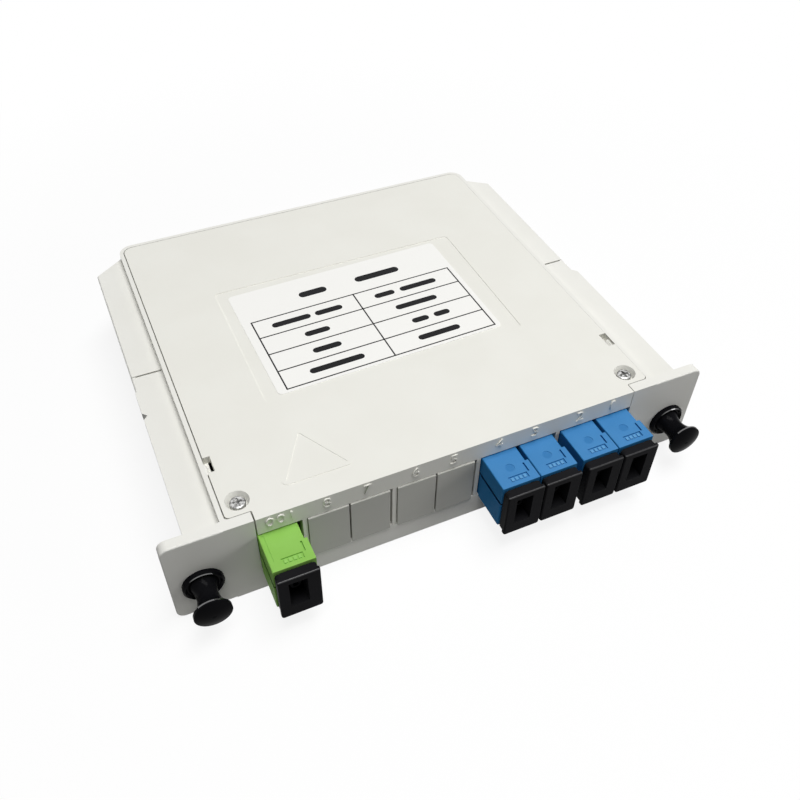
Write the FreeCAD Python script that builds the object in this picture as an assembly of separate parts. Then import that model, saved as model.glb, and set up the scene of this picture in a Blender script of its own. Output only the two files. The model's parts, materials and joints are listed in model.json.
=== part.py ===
"""Plug-in fibre splitter cassette: a moulded tray and cover with nine port places on its front panel.

One input adapter and four output adapters stand in the front panel, four places are closed by blanks,
and two push-pull latches hold the cassette in its frame. Inside, a splitter in a steel case feeds the
adapters through short fibres. Millimetres; X runs along the panel, Y to the rear, Z up.
"""
import FreeCAD, Part
import math
import os

os.makedirs("parts", exist_ok=True)

# Housing
HEIGHT = 24.0
EAR_WIDTH = 13.0
BODY_DEPTH = 103.0
WALL = 2.2
FLOOR = 2.0
RIM = 1.0
REAR_CORNER_R = 3.6
COVER_THICK = 2.0
COVER_GAP = 0.15
COVER_SHIFT = 0.12

# Front panel
PANEL_WIDTH = 130.0
PANEL_THICK = 2.5
PANEL_CORNER_R = 2.0
PANEL_EDGE_R = 0.35
BAND_HEIGHT = 6.2
WINDOW_HEIGHT = 12.85
BAY_MARGIN = 6.3
BAR_WIDTH = 1.0
GROUP_ROOM = 0.2
PORT_GROUPS = (1, 2, 2, 2, 2)
PORT_NAMES = ("input", "8", "7", "6", "5", "4", "3", "2", "1")
BLANKED = ("8", "7", "6", "5")
FIBRE_ROWS = {"4": 0, "3": 1, "2": 2, "1": 3}
PANEL_GAP = 0.1

# Side wings that slide in the frame's guides
WING_REACH = 7.3
WING_THICK = 2.0
WING_DROP = 2.0
WING_STEP_RIGHT = 1.0
WING_STEP_LEFT = 0.2
WING_STEP_Y = 47.5
WING_SLIT_Y = 52.4
WING_SLIT = 0.5
WING_SLIT_STOP = 0.9
WING_SLIT_END = 0.2
WING_REAR_INSET = 2.2
WING_CHAMFER = 5.4
WING_REAR_R = 0.75
WING_NICK_Y = 39.2
WING_NICK_DEPTH = 1.0
WING_NICK_LENGTH = 2.2
WING_EDGE = 0.25
WING_SLIT_R = 0.17

# Snap slots, cover screws and label place
SLOT_Y = 15.7
SLOT_LENGTH = 4.4
SLOT_WIDTH = 1.65
HOOK_LENGTH = 2.7
HOOK_WIDTH = 0.75
HOOK_DROP = 0.8
SCREW_INSET = 4.75
SCREW_Y = 6.3
SCREW_HEAD_R = 1.75
SCREW_HEAD_H = 1.05
SCREW_CROWN_R = 0.45
CROSS_REACH = 1.1
CROSS_HALF = 0.25
CROSS_DEPTH = 0.66
SCREW_SHANK_R = 1.0
SCREW_LENGTH = 9.0
SCREW_POCKET_R = 2.55
SCREW_POCKET_FLOOR_R = 1.9
SCREW_POCKET_DEPTH = 1.5
SCREW_SEAT = 1.1
BOSS_R = 2.0
BOSS_FLAT = 0.1
CUP_WALL = 0.9
NOTCH_CORNER_R = 1.0
NOTCH_ROOT_R = 0.3
REBATE_CORNER_R = 0.8
SKIRT_GAP_LEFT = 0.35
SKIRT_GAP_RIGHT = 0.2
LABEL_WIDTH = 58.8
LABEL_LENGTH = 38.8
LABEL_THICK = 0.12
LABEL_X = -0.8
LABEL_Y = 51.6
LABEL_TURN = 1.3
LABEL_CORNER_R = 1.2
LABEL_MARGIN_X = 3.9
LABEL_MARGIN_Y = 1.9
LABEL_POCKET = 0.15
PAD_SIDE = 17.1
PAD_X = -29.7
PAD_Y = 10.9
PAD_LINE = 0.9
PAD_CORNER_R = 1.1
PAD_RISE = 0.12
BEYOND = 1.0

# Adapters: simplex, narrow side across
ADAPTER_ROOM = 0.9
ADAPTER_HEIGHT = 12.5
ADAPTER_LENGTH = 27.4
ADAPTER_REACH = 9.6
ADAPTER_EDGE_R = 0.3
CHEEK = 0.6
CHEEK_LENGTH = 5.4
CHEEK_SPLIT = 0.4
CHEEK_RISE = 0.9
LEFT_CHEEK = 0.15
INPUT_SHIFT = 0.2
CHEEK_TIP = 0.3
CHEEK_REAR_GAP = 0.5
GROOVE_LENGTH = 7.0
GROOVE_DEPTH = 0.4
ADAPTER_WALL = 0.6
PORT_HEIGHT = 9.0
PORT_DEPTH = 12.2
GATE_R = 1.1
GATE_DEPTH = 0.1
TOP_POCKET_WIDTH = 4.6
TOP_POCKET_LENGTH = 1.5
TOP_POCKET_FRONT = 1.0
TOP_POCKET_SHIFT = 0.55
TOP_POCKET_DEPTH = 0.3
TOP_SLIT = 0.4
TOP_SLIT_LENGTH = 2.5
TOP_SLIT_INSET = 1.1
TOP_SLIT_DEPTH = 0.5
TOP_LINE = 0.25
TOP_LINE_INSET = 0.9
TOP_LINE_LENGTH = 7.0
TOP_LINE_FRONT = 2.4
SLEEVE_R = 1.6
SLEEVE_WALL = 0.35
SLEEVE_LENGTH = 11.4
SLEEVE_SLIT = 0.5
HOLDER_WALL = 0.9
HOLDER_LIP = 0.7
LIP_BORE_R = 1.4
FIT = 0.05

# Dust caps
CAP_ROOM = 0.1
CAP_HEIGHT = 13.0
CAP_DROP = 0.65
CAP_THICK = 2.3
CAP_FLANGE = 0.9
CAP_CORNER_R = 0.25
CAP_LOWER_R = 0.6
CAP_EDGE_R = 0.35
CAP_NECK_INSET = 0.15
CAP_NECK_R = 1.0
CAP_STUB = 5.6
CAP_STUB_GAP = 0.12
CAP_SEAT_GAP = 0.3
CAP_POCKET_WIDTH = 4.0
CAP_POCKET_HEIGHT = 7.2
CAP_MOUTH_RISE = 0.7
CAP_PIN_R = 1.15
CAP_PIN_BORE_R = 0.6
CAP_PIN_DROP = 2.4
CAP_FLOOR = 1.0

# Blanks
BLANK_GAP = 0.2
BLANK_SHIFT = 0.25
BLANK_PROUD = 0.35
BLANK_FACE = 2.2
BLANK_LIP = 0.35
BLANK_LEG_LENGTH = 7.0
BLANK_LEG_THICK = 1.0
BLANK_BEVEL = 0.15
BLANK_BARB = 0.35

# Latches: a split grommet and its plunger
LATCH_INSET = 6.8
LATCH_Z = 9.7
GROMMET_FLANGE_R = 4.45
GROMMET_FLANGE = 1.2
GROMMET_EDGE = 0.4
GROMMET_DISH_R = 3.5
GROMMET_DISH = 0.5
GROMMET_COLLAR_R = 3.4
GROMMET_LEG_R = 3.1
GROMMET_LEAD = 1.5
GROMMET_TIP_R = 2.7
GROMMET_LENGTH = 7.0
GROMMET_SLIT = 1.0
GROMMET_SLIT_START = 3.0
PLUNGER_PIN_R = 1.9
PLUNGER_TIP_R = 1.33
PLUNGER_TIP = 1.0
PLUNGER_END_GAP = 1.2
PLUNGER_FOOT_R = 3.2
PLUNGER_WAIST_R = 2.35
PLUNGER_HEAD_R = 4.05
PLUNGER_HEAD_RIM = 0.7
PLUNGER_REACH = 8.7
PLUNGER_DOME = 0.7
PLUNGER_SEAT_GAP = 0.1

# Inner plugs, fibres and splitter
PLUG_LENGTH = 18.0
PLUG_NOSE = 6.8
PLUG_GAP = 0.1
PLUG_CORNER_R = 0.5
PLUG_BORE_GAP = 0.2
PLUG_BORE_DEPTH = 4.0
PLUG_BOOT_LENGTH = 9.0
PLUG_BOOT_R = 2.3
PLUG_BOOT_TIP_R = 1.1
FERRULE_R = 1.2
FIBRE_R = 0.45
FIBRE_BEND_R = 10.0
FIBRE_PITCH = 1.0
CASE_BEND_ROOM = 0.85
CASE_WIDTH = 7.0
CASE_THICK = 4.0
CASE_CORNER_R = 0.6
CASE_BOOT = 3.0
CASE_BOOT_STEP = 0.6
CASE_REAR_ROOM = 12.8
SADDLE_INSET = 4.8
SADDLE_LENGTH = 3.0
SADDLE_WALL = 1.2
GUIDE_WALL = 1.2
GUIDE_GAP = 0.8
RACK_Y = 12.0
RACK_THICK = 1.4
RACK_TOP = 14.0
QUARTER_TURN = 90

# Sizes that follow from those above
PANEL_X = PANEL_WIDTH / 2
BODY_X = PANEL_X - EAR_WIDTH
BAY_X = BODY_X - BAY_MARGIN
GROUP_STEP = BAR_WIDTH + 2 * GROUP_ROOM
PORT_CELL = (2 * (BAY_X - GROUP_ROOM) - (len(PORT_GROUPS) - 1) * GROUP_STEP) / sum(PORT_GROUPS)
ADAPTER_WIDTH = PORT_CELL - ADAPTER_ROOM
PORT_WIDTH = ADAPTER_WIDTH - 2 * ADAPTER_WALL
CAP_WIDTH = ADAPTER_WIDTH + CHEEK - CAP_ROOM
SCREW_X = BODY_X - SCREW_INSET
LATCH_X = PANEL_X - LATCH_INSET
COVER_X = BODY_X - RIM - COVER_GAP
COVER_REAR = BODY_DEPTH - RIM - COVER_GAP
COVER_UNDER = HEIGHT - COVER_THICK
NOTCH_Y = PANEL_THICK + COVER_GAP
SKIRT_LEFT = SKIRT_GAP_LEFT - BAY_X
SKIRT_RIGHT = BAY_X - SKIRT_GAP_RIGHT
SKIRT_BOTTOM = BAND_HEIGHT + WINDOW_HEIGHT
POCKET_FLOOR = HEIGHT - SCREW_POCKET_DEPTH
BOSS_TOP = POCKET_FLOOR - SCREW_SEAT
CUP_R = SCREW_POCKET_R + CUP_WALL
ADAPTER_FRONT = -ADAPTER_REACH
ADAPTER_MID = ADAPTER_FRONT + ADAPTER_LENGTH / 2
ADAPTER_Z = BAND_HEIGHT + ADAPTER_HEIGHT / 2
ADAPTER_SHIFT = -CHEEK / 2
CHEEK_Z = ADAPTER_Z + CHEEK_RISE
HOLDER_R = SLEEVE_R + FIT + HOLDER_WALL
CAP_BACK = ADAPTER_FRONT - CAP_SEAT_GAP
CAP_FRONT = CAP_BACK - CAP_THICK
PLUG_FRONT = ADAPTER_MID + PLUG_NOSE
PLUG_REAR = PLUG_FRONT + PLUG_LENGTH
LATCH_FACE = -GROMMET_FLANGE
CASE_Y = BODY_DEPTH - WALL - CASE_REAR_ROOM
MIDDLE_ROW = (len(FIBRE_ROWS) - 1) / 2
FRONT_Y = min(CAP_FRONT, -PLUNGER_REACH)
ORIGIN_Y = (FRONT_Y + BODY_DEPTH) / 2
X_AXIS = FreeCAD.Vector(1, 0, 0)
Y_AXIS = FreeCAD.Vector(0, 1, 0)
Z_AXIS = FreeCAD.Vector(0, 0, 1)


def on_floor(u, v):
    """A plan point: u along X, v along Y."""
    return FreeCAD.Vector(u, v, 0)


def on_panel(u, v):
    """A front-view point: u along X, v along Z."""
    return FreeCAD.Vector(u, 0, v)


def outline(corners, place):
    """Closed wire through (u, v, radius) corners, each rounded by a tangent arc of its radius."""
    stops = []
    count = len(corners)
    for i, (u, v, radius) in enumerate(corners):
        here = place(u, v)
        if radius <= 0:
            stops.append((here, None, here))
            continue
        before = place(*corners[i - 1][:2]) - here
        after = place(*corners[(i + 1) % count][:2]) - here
        before.normalize()
        after.normalize()
        half = before.getAngle(after) / 2
        bisector = before + after
        bisector.normalize()
        middle = here + bisector * (radius / math.sin(half) - radius)
        reach = radius / math.tan(half)
        stops.append((here + before * reach, middle, here + after * reach))
    edges = []
    for i, (start, middle, end) in enumerate(stops):
        if middle is not None:
            edges.append(Part.Arc(start, middle, end).toShape())
        following = stops[(i + 1) % count][0]
        if end.distanceToPoint(following) > 1e-6:
            edges.append(Part.LineSegment(end, following).toShape())
    return Part.Wire(edges)


def plan_prism(corners, low, high):
    """Solid with a plan outline between two heights."""
    face = Part.Face(outline(corners, on_floor))
    face.translate(Z_AXIS * low)
    return face.extrude(Z_AXIS * (high - low))


def front_prism(corners, front, rear):
    """Solid with a front-view outline between two depths."""
    face = Part.Face(outline(corners, on_panel))
    face.translate(Y_AXIS * front)
    return face.extrude(Y_AXIS * (rear - front))


def rectangle(u0, u1, v0, v1, radius=0.0):
    """Corners of a rectangle with one radius."""
    return [(u0, v0, radius), (u1, v0, radius), (u1, v1, radius), (u0, v1, radius)]


def block(x0, x1, y0, y1, z0, z1):
    """Plain block between two opposite corners."""
    return Part.makeBox(x1 - x0, y1 - y0, z1 - z0, FreeCAD.Vector(x0, y0, z0))


def rod_y(x, z, radius, front, rear):
    """Cylinder along Y."""
    return Part.makeCylinder(radius, rear - front, FreeCAD.Vector(x, front, z), Y_AXIS)


def rod_z(x, y, radius, low, high):
    """Cylinder along Z."""
    return Part.makeCylinder(radius, high - low, FreeCAD.Vector(x, y, low), Z_AXIS)


def turned(profile, x, z):
    """Solid of revolution about a Y axis; the profile is a list of (radius, y) corners."""
    points = [FreeCAD.Vector(radius, y, 0) for radius, y in profile]
    wire = Part.makePolygon(points + [points[0]])
    solid = Part.Face(wire).revolve(FreeCAD.Vector(0, 0, 0), Y_AXIS, 360)
    solid.translate(FreeCAD.Vector(x, 0, z))
    return solid


def mirrored(solid):
    """The same solid on the other side of the middle plane."""
    return solid.mirror(FreeCAD.Vector(0, 0, 0), X_AXIS)


def port_cells():
    """X of each port's middle, by the port's name."""
    middles = []
    x = -BAY_X + GROUP_ROOM
    for places in PORT_GROUPS:
        for _ in range(places):
            middles.append(x + PORT_CELL / 2)
            x += PORT_CELL
        x += GROUP_STEP
    return dict(zip(PORT_NAMES, middles))


def bar_places():
    """X of the left edge of each bar between two windows."""
    edges = []
    x = -BAY_X + GROUP_ROOM
    for places in PORT_GROUPS[:-1]:
        x += places * PORT_CELL
        edges.append(x + GROUP_ROOM)
        x += GROUP_STEP
    return edges


def port_middle(cell):
    """X of the middle of an adapter in its place; the input adapter stands further to the left."""
    first = cell < PORT_CELL - BAY_X
    return cell + ADAPTER_SHIFT - (INPUT_SHIFT if first else 0.0)


def plan_body(half, front, rear, rear_r, front_r=0.0):
    """Plan corners of the housing at one inset, rounded at the rear."""
    return [(-half, front, front_r), (half, front, front_r), (half, rear, rear_r), (-half, rear, rear_r)]


def body_shell():
    """Tray walls and floor, with the rebate that takes the cover."""
    outer = plan_prism(plan_body(BODY_X, 0, BODY_DEPTH, REAR_CORNER_R), 0, HEIGHT)
    inner_x = BODY_X - WALL
    cavity = plan_body(inner_x, PANEL_THICK, BODY_DEPTH - WALL, REAR_CORNER_R - WALL)
    rebate = plan_body(BODY_X - RIM, PANEL_THICK, BODY_DEPTH - RIM, REAR_CORNER_R - RIM, REBATE_CORNER_R)
    shell = outer.cut(plan_prism(cavity, FLOOR, HEIGHT))
    return shell.cut(plan_prism(rebate, COVER_UNDER, HEIGHT))


def front_panel():
    """Ears and lower band in one plate, rounded at its corners and along its front edge."""
    plate = front_prism(rectangle(-PANEL_X, PANEL_X, 0, HEIGHT, PANEL_CORNER_R), 0, PANEL_THICK)
    rim = [edge for edge in plate.Edges if edge.BoundBox.YMax < PANEL_THICK / 2]
    return plate.makeFillet(PANEL_EDGE_R, rim)


def panel_opening():
    """Room for the windows, bars and skirt."""
    return block(-BAY_X, BAY_X, -BEYOND, PANEL_THICK + COVER_GAP, BAND_HEIGHT, HEIGHT + BEYOND)


def side_wing(step):
    """Right-hand wing with a rear chamfer, a step near its middle and a slit that narrows at its end."""
    inner = BODY_X - WALL / 2
    tip = BODY_X + WING_REACH
    wide = tip + step
    rear = BODY_DEPTH - WING_REAR_INSET
    corners = [
        (inner, PANEL_THICK / 2, 0),
        (wide, PANEL_THICK / 2, 0),
        (wide, WING_STEP_Y - step, 0),
        (tip, WING_STEP_Y, 0),
        (tip, rear - WING_CHAMFER, WING_REAR_R),
        (BODY_X, rear, 0),
        (inner, rear, 0),
    ]
    top = HEIGHT - WING_DROP
    low = top - WING_THICK
    wing = plan_prism(corners, low, top)
    outer = [edge for edge in wing.Edges if edge.BoundBox.XMin > BODY_X and edge.BoundBox.YMin > PANEL_THICK]
    upper = [edge for edge in outer if edge.BoundBox.ZMin > top - FIT]
    long_edges = [edge for edge in upper if edge.BoundBox.YLength > PORT_CELL]
    wing = wing.makeChamfer(WING_EDGE, long_edges)
    slit_end = tip - WING_SLIT_STOP
    slit_rear = WING_SLIT_Y + WING_SLIT
    slit = plan_prism(rectangle(BODY_X, slit_end, WING_SLIT_Y, slit_rear, WING_SLIT_R), low, top)
    narrow = block(slit_end - WING_SLIT, tip + BEYOND, slit_rear - WING_SLIT_END, slit_rear, low, top)
    return wing.cut([slit, narrow])


def wing_nick():
    """Room for the V-shaped nick in the edge of the left wing, seen as a right-hand wing."""
    edge = BODY_X + WING_REACH + WING_STEP_LEFT
    half = WING_NICK_LENGTH / 2 * (1 + BEYOND / WING_NICK_DEPTH)
    corners = [(edge - WING_NICK_DEPTH, WING_NICK_Y, 0), (edge + BEYOND, WING_NICK_Y - half, 0),
               (edge + BEYOND, WING_NICK_Y + half, 0)]
    return plan_prism(corners, HEIGHT - WING_DROP - WING_THICK - BEYOND, HEIGHT)


def screw_boss(x):
    """Post under the cover screw, tied to the side wall and flat beside the adapters."""
    side = math.copysign(1.0, x)
    web = sorted([x, side * (BODY_X - WALL / 2)])
    post = rod_z(x, SCREW_Y, BOSS_R, FLOOR / 2, BOSS_TOP)
    rib = block(web[0], web[1], SCREW_Y - WALL / 4, SCREW_Y + WALL / 4, FLOOR / 2, BOSS_TOP)
    flat = BAY_X + BOSS_FLAT
    room = block(-flat, flat, SCREW_Y - 2 * BOSS_R, SCREW_Y + 2 * BOSS_R, 0, HEIGHT)
    return post.fuse(rib).cut(room)


def right_hook():
    """Snap hook that shows in the cover's slot."""
    edge = BODY_X - RIM
    top = HEIGHT - HOOK_DROP
    tip = edge - HOOK_WIDTH
    corners = [
        (tip, COVER_UNDER - WALL),
        (edge + RIM / 2, COVER_UNDER - WALL),
        (edge + RIM / 2, top),
        (tip + HOOK_WIDTH / 2, top),
        (tip, top - HOOK_WIDTH / 2),
    ]
    return front_prism([(u, v, 0) for u, v in corners], SLOT_Y + COVER_GAP, SLOT_Y + COVER_GAP + HOOK_LENGTH)


def adapter_rack():
    """Cross wall with a notch under each adapter's rear half."""
    wall = block(-BAY_X, BAY_X, RACK_Y, RACK_Y + RACK_THICK, FLOOR / 2, RACK_TOP)
    half = ADAPTER_WIDTH / 2 + FIT
    notches = []
    for cell in port_cells().values():
        middle = port_middle(cell)
        notches.append(block(middle - half, middle + half, RACK_Y - BEYOND, RACK_Y + RACK_THICK + BEYOND,
                             BAND_HEIGHT, RACK_TOP + BEYOND))
    return wall.cut(Part.makeCompound(notches))


def case_saddle(x):
    """Upright that holds the splitter case between two cheeks."""
    half = CASE_WIDTH / 2 + FIT
    base = ADAPTER_Z - CASE_THICK / 2
    outer = half + SADDLE_WALL
    corners = rectangle(x - SADDLE_LENGTH / 2, x + SADDLE_LENGTH / 2, CASE_Y - outer, CASE_Y + outer)
    saddle = plan_prism(corners, FLOOR / 2, base + CASE_THICK)
    return saddle.cut(block(x - SADDLE_LENGTH, x + SADDLE_LENGTH, CASE_Y - half, CASE_Y + half,
                            base, base + 2 * CASE_THICK))


def bend_centre(cell, row):
    """Middle of a fibre's bend: the fibre runs to the splitter in the given row."""
    side = math.copysign(1.0, cell)
    return FreeCAD.Vector(port_middle(cell) - side * FIBRE_BEND_R, row_y(row) - FIBRE_BEND_R, ADAPTER_Z)


def row_y(row):
    """Y of one fibre row at the splitter."""
    return CASE_Y + (row - MIDDLE_ROW) * FIBRE_PITCH


def bend_guide(cell, row):
    """Quarter wall round the outside of one fibre bend."""
    centre = bend_centre(cell, row)
    inner_r = FIBRE_BEND_R + FIBRE_R + GUIDE_GAP
    outer_r = inner_r + GUIDE_WALL
    tall = ADAPTER_Z + CASE_THICK / 2 - FLOOR / 2
    foot = FreeCAD.Vector(centre.x, centre.y, FLOOR / 2)
    start = 0 if cell > 0 else QUARTER_TURN
    ring = Part.makeCylinder(outer_r, tall, foot, Z_AXIS, QUARTER_TURN)
    ring = ring.cut(Part.makeCylinder(inner_r, tall, foot, Z_AXIS, 360))
    ring.rotate(foot, Z_AXIS, start)
    return ring


def base_tray():
    """The one-piece moulding that carries everything."""
    left_wing = mirrored(side_wing(WING_STEP_LEFT).cut(wing_nick()))
    hook = right_hook()
    cells = port_cells()
    joined = [front_panel(), side_wing(WING_STEP_RIGHT), left_wing, screw_boss(SCREW_X), screw_boss(-SCREW_X)]
    joined += [hook, mirrored(hook), adapter_rack()]
    joined += [case_saddle(x) for x in saddle_places()]
    joined += [bend_guide(cells["input"], MIDDLE_ROW), bend_guide(cells["1"], FIBRE_ROWS["1"])]
    tray = body_shell().fuse(joined)
    cuts = [panel_opening()]
    for side in (-1, 1):
        cuts.append(rod_y(side * LATCH_X, LATCH_Z, GROMMET_COLLAR_R + FIT, -BEYOND, PANEL_THICK + BEYOND))
        cuts.append(rod_z(side * SCREW_X, SCREW_Y, SCREW_SHANK_R, POCKET_FLOOR - SCREW_LENGTH, BOSS_TOP))
        cuts.append(rod_z(side * SCREW_X, SCREW_Y, CUP_R + COVER_GAP, BOSS_TOP, COVER_UNDER))
    return tray.cut(Part.makeCompound(cuts)).removeSplitter()


def cover_plan():
    """Cover corners: plain rear, L-shaped notches in front round the ears."""
    rear_r = REAR_CORNER_R - RIM - COVER_GAP
    left = COVER_SHIFT - COVER_X
    right = COVER_SHIFT + COVER_X
    return [
        (SKIRT_LEFT, 0, 0),
        (SKIRT_RIGHT, 0, 0),
        (SKIRT_RIGHT, NOTCH_Y, NOTCH_ROOT_R),
        (right, NOTCH_Y, NOTCH_CORNER_R),
        (right, COVER_REAR, rear_r),
        (left, COVER_REAR, rear_r),
        (left, NOTCH_Y, NOTCH_CORNER_R),
        (SKIRT_LEFT, NOTCH_Y, NOTCH_ROOT_R),
    ]


def cover_front():
    """Turned-down skirt and the bars between the windows."""
    pieces = [block(SKIRT_LEFT, SKIRT_RIGHT, 0, PANEL_THICK, SKIRT_BOTTOM, COVER_UNDER)]
    for x in bar_places():
        pieces.append(block(x, x + BAR_WIDTH, 0, PANEL_THICK, BAND_HEIGHT + PANEL_GAP, COVER_UNDER))
    return pieces


def raised_pad():
    """Thin raised outline of a rounded triangle on the cover."""
    rise = PAD_SIDE * math.sqrt(3) / 2
    rings = []
    for inset in (0.0, PAD_LINE):
        side = PAD_SIDE / 2 - inset * math.sqrt(3)
        low = PAD_Y - rise / 3 + inset
        high = PAD_Y + rise * 2 / 3 - inset * 2
        round_r = PAD_CORNER_R - inset
        corners = [(PAD_X - side, low, round_r), (PAD_X + side, low, round_r), (PAD_X, high, round_r)]
        rings.append(plan_prism(corners, HEIGHT - FIT, HEIGHT + PAD_RISE))
    return rings[0].cut(rings[1])


def screw_pocket(x):
    """Sloping pocket round a cover screw's head."""
    slope = (SCREW_POCKET_R - SCREW_POCKET_FLOOR_R) / SCREW_POCKET_DEPTH
    return Part.makeCone(SCREW_POCKET_FLOOR_R, SCREW_POCKET_R + slope * BEYOND, SCREW_POCKET_DEPTH + BEYOND,
                         FreeCAD.Vector(x, SCREW_Y, POCKET_FLOOR), Z_AXIS)


def cover_pockets():
    """Snap slots, screw pockets, screw holes and the shallow label place."""
    cuts = []
    for side in (-1, 1):
        slot = sorted([side * (COVER_X - SLOT_WIDTH), side * (COVER_X + BEYOND)])
        cuts.append(block(slot[0], slot[1], SLOT_Y, SLOT_Y + SLOT_LENGTH,
                          COVER_UNDER - BEYOND, HEIGHT + BEYOND))
        cuts.append(screw_pocket(side * SCREW_X))
        cuts.append(rod_z(side * SCREW_X, SCREW_Y, SCREW_SHANK_R + FIT, BOSS_TOP - BEYOND, HEIGHT))
    half_x = LABEL_WIDTH / 2 + LABEL_MARGIN_X
    half_y = LABEL_LENGTH / 2 + LABEL_MARGIN_Y
    place = rectangle(-half_x, half_x, LABEL_Y - half_y, LABEL_Y + half_y, LABEL_CORNER_R)
    cuts.append(plan_prism(place, HEIGHT - LABEL_POCKET, HEIGHT + BEYOND))
    return Part.makeCompound(cuts)


def top_cover():
    """Drop-in cover with a turned-down front."""
    plate = plan_prism(cover_plan(), COVER_UNDER, HEIGHT)
    cups = [rod_z(side * SCREW_X, SCREW_Y, CUP_R, BOSS_TOP, COVER_UNDER) for side in (-1, 1)]
    cover = plate.fuse(cover_front() + cups + [raised_pad()])
    return cover.cut(cover_pockets()).removeSplitter()


def cover_screw(x):
    """Pan-head screw with a cross recess."""
    top = POCKET_FLOOR + SCREW_HEAD_H
    shank = rod_z(x, SCREW_Y, SCREW_SHANK_R, POCKET_FLOOR - SCREW_LENGTH + BEYOND, POCKET_FLOOR)
    head = rod_z(x, SCREW_Y, SCREW_HEAD_R, POCKET_FLOOR, top)
    crown = [edge for edge in head.Edges if edge.BoundBox.ZMin > POCKET_FLOOR + SCREW_HEAD_H / 2]
    head = head.makeFillet(SCREW_CROWN_R, crown)
    arms = []
    for reach_x, reach_y in ((CROSS_REACH, CROSS_HALF), (CROSS_HALF, CROSS_REACH)):
        arms.append(block(x - reach_x, x + reach_x, SCREW_Y - reach_y, SCREW_Y + reach_y,
                          top - CROSS_DEPTH, top + BEYOND))
    return shank.fuse(head).cut(arms)


def cover_label():
    """Thin sticker, a little askew, on the floor of its place."""
    floor = HEIGHT - LABEL_POCKET
    half_x = LABEL_WIDTH / 2
    half_y = LABEL_LENGTH / 2
    corners = rectangle(-half_x, half_x, -half_y, half_y, LABEL_CORNER_R)
    label = plan_prism(corners, floor, floor + LABEL_THICK)
    label.rotate(FreeCAD.Vector(0, 0, 0), Z_AXIS, LABEL_TURN)
    label.translate(FreeCAD.Vector(LABEL_X, LABEL_Y, 0))
    return label


def adapter_cheeks(x):
    """Proud steps on the front half: upper half of the right face, lower half of the left face."""
    left = x - ADAPTER_WIDTH / 2
    right = x + ADAPTER_WIDTH / 2
    low = ADAPTER_Z - ADAPTER_HEIGHT / 2
    rear = ADAPTER_FRONT + CHEEK_LENGTH
    right_plan = [
        (right - CHEEK, ADAPTER_FRONT, 0),
        (right + CHEEK, ADAPTER_FRONT, 0),
        (right + CHEEK, rear, 0),
        (right - CHEEK, rear, 0),
    ]
    left_plan = [
        (left + CHEEK, ADAPTER_FRONT, 0),
        (left + CHEEK, -CHEEK_REAR_GAP, 0),
        (left - LEFT_CHEEK, -CHEEK_REAR_GAP, 0),
        (left - LEFT_CHEEK, ADAPTER_FRONT + CHEEK_TIP, 0),
        (left, ADAPTER_FRONT, 0),
    ]
    upper = plan_prism(right_plan, CHEEK_Z + CHEEK_SPLIT, low + ADAPTER_HEIGHT)
    lower = plan_prism(left_plan, low, CHEEK_Z)
    return [upper, lower]


def adapter_marks(x):
    """Marking pocket and slit in the top face, and the groove in the left face."""
    top = ADAPTER_Z + ADAPTER_HEIGHT / 2
    pocket_x = x + TOP_POCKET_SHIFT
    pocket_y = ADAPTER_FRONT + TOP_POCKET_FRONT
    slit_x = x + ADAPTER_WIDTH / 2 - TOP_SLIT_INSET
    slit_y = ADAPTER_FRONT + CHEEK_LENGTH - TOP_SLIT
    left = x - ADAPTER_WIDTH / 2
    return [
        block(pocket_x - TOP_POCKET_WIDTH / 2, pocket_x + TOP_POCKET_WIDTH / 2, pocket_y,
              pocket_y + TOP_POCKET_LENGTH, top - TOP_POCKET_DEPTH, top + BEYOND),
        block(slit_x, slit_x + TOP_SLIT, slit_y - TOP_SLIT_LENGTH, slit_y,
              top - TOP_SLIT_DEPTH, top + BEYOND),
        block(left - BEYOND, left + GROOVE_DEPTH, ADAPTER_FRONT - BEYOND, ADAPTER_FRONT + GROOVE_LENGTH,
              CHEEK_Z, CHEEK_Z + CHEEK_SPLIT),
    ]


def gate_mark(x):
    """Round gate mark in the top face of an output adapter."""
    top = ADAPTER_Z + ADAPTER_HEIGHT / 2
    return rod_z(x, ADAPTER_FRONT / 2, GATE_R, top - GATE_DEPTH, top + BEYOND)


def key_line(x):
    """Fine line along the left of the input adapter's top face."""
    top = ADAPTER_Z + ADAPTER_HEIGHT / 2
    line_x = x - ADAPTER_WIDTH / 2 + TOP_LINE_INSET
    line_y = ADAPTER_FRONT + TOP_LINE_FRONT
    return block(line_x, line_x + TOP_LINE, line_y, line_y + TOP_LINE_LENGTH,
                 top - TOP_LINE / 2, top + BEYOND)


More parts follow.
